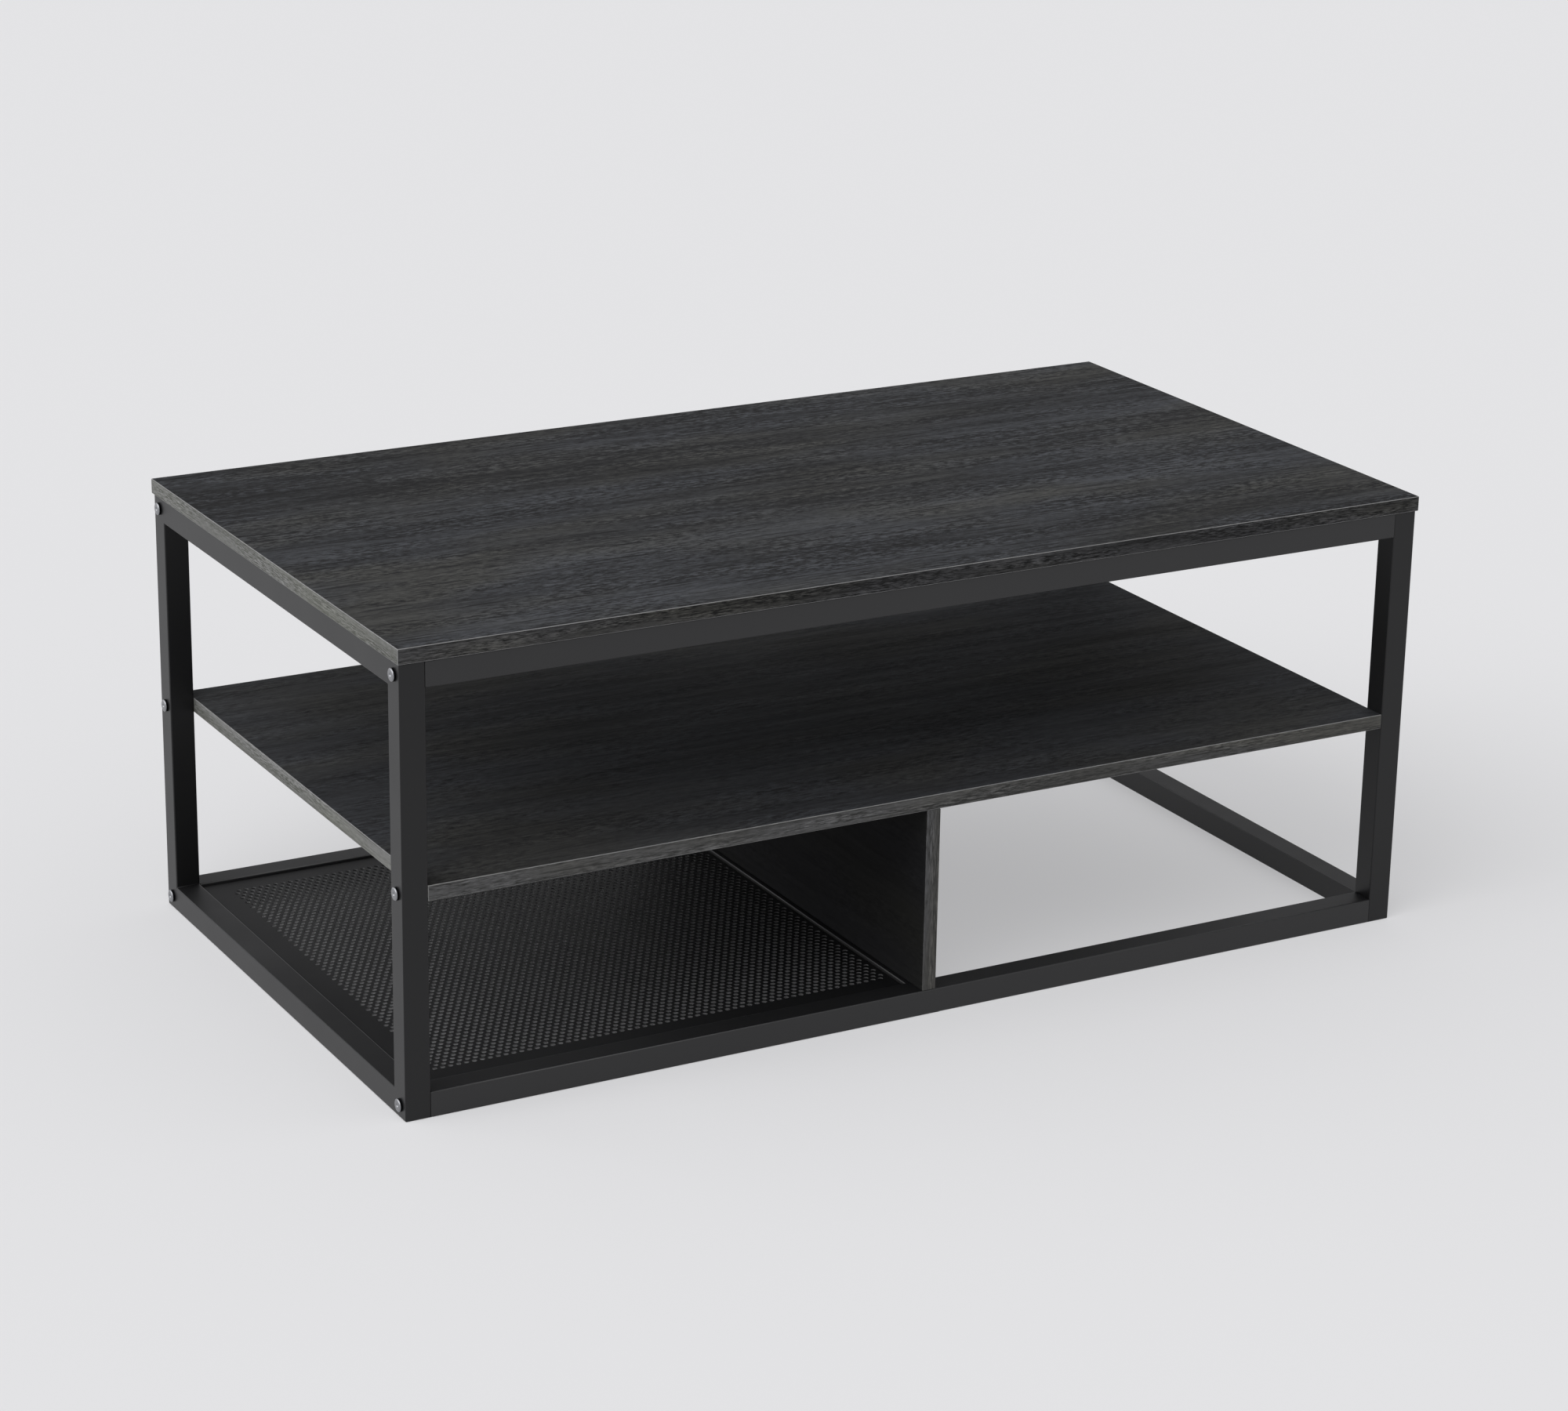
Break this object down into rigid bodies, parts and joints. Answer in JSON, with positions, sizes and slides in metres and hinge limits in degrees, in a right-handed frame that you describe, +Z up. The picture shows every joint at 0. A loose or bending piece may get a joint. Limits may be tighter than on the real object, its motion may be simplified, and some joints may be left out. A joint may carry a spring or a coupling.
{
  "type": "coffee table",
  "caption": "Low rectangular table: board top on a square steel tube frame, full-length middle shelf, upright divider and a perforated metal tray in one lower bay.",
  "frame": {"origin": "on the floor, under the middle of the table", "axes": "+Z up, X along the table's length with the perforated tray at -X, the long front side faces -Y"},
  "size_m": [1.102, 0.6, 0.45],
  "materials": {
    "black_board": "particle board with black wood-grain melamine, fine grain along the length, satin",
    "black_frame": "black powder coat, fine texture, satin",
    "black_tray": "black powder coat on perforated sheet steel",
    "bolt_steel": "zinc plated, bright",
    "hidden_steel": "zinc plated",
    "dowel_beech": "plain beech"
  },
  "bodies": {
    "root": {"top_board": "black_board", "middle_shelf": "black_board", "divider_panel": "black_board", "left_front_post": "black_frame", "left_rear_post": "black_frame", "left_bottom_crossbar": "black_frame", "left_top_crossbar": "black_frame", "right_front_post": "black_frame", "right_rear_post": "black_frame", "right_bottom_crossbar": "black_frame", "right_top_crossbar": "black_frame", "front_bottom_rail": "black_frame", "front_top_rail": "black_frame", "rear_bottom_rail": "black_frame", "rear_top_rail": "black_frame", "tray_crossbar": "black_frame", "perforated_tray": "black_tray", "left_front_low_bolt": "bolt_steel", "left_front_shelf_bolt": "bolt_steel", "left_front_high_bolt": "bolt_steel", "left_rear_low_bolt": "bolt_steel", "left_rear_shelf_bolt": "bolt_steel", "left_rear_high_bolt": "bolt_steel", "right_front_low_bolt": "bolt_steel", "right_front_shelf_bolt": "bolt_steel", "right_front_high_bolt": "bolt_steel", "right_rear_low_bolt": "bolt_steel", "right_rear_shelf_bolt": "bolt_steel", "right_rear_high_bolt": "bolt_steel", "left_front_barrel_nut": "hidden_steel", "left_rear_barrel_nut": "hidden_steel", "right_front_barrel_nut": "hidden_steel", "right_rear_barrel_nut": "hidden_steel", "top_screw_1": "hidden_steel", "top_screw_2": "hidden_steel", "top_screw_3": "hidden_steel", "top_screw_4": "hidden_steel", "top_screw_5": "hidden_steel", "top_screw_6": "hidden_steel", "top_screw_7": "hidden_steel", "top_screw_8": "hidden_steel", "top_insert_1": "hidden_steel", "top_insert_2": "hidden_steel", "top_insert_3": "hidden_steel", "top_insert_4": "hidden_steel", "top_insert_5": "hidden_steel", "top_insert_6": "hidden_steel", "top_insert_7": "hidden_steel", "top_insert_8": "hidden_steel", "divider_screw_1": "hidden_steel", "divider_screw_2": "hidden_steel", "divider_screw_3": "hidden_steel", "divider_dowel_1": "dowel_beech", "divider_dowel_2": "dowel_beech", "divider_dowel_3": "dowel_beech"}
  },
  "joints": []
}
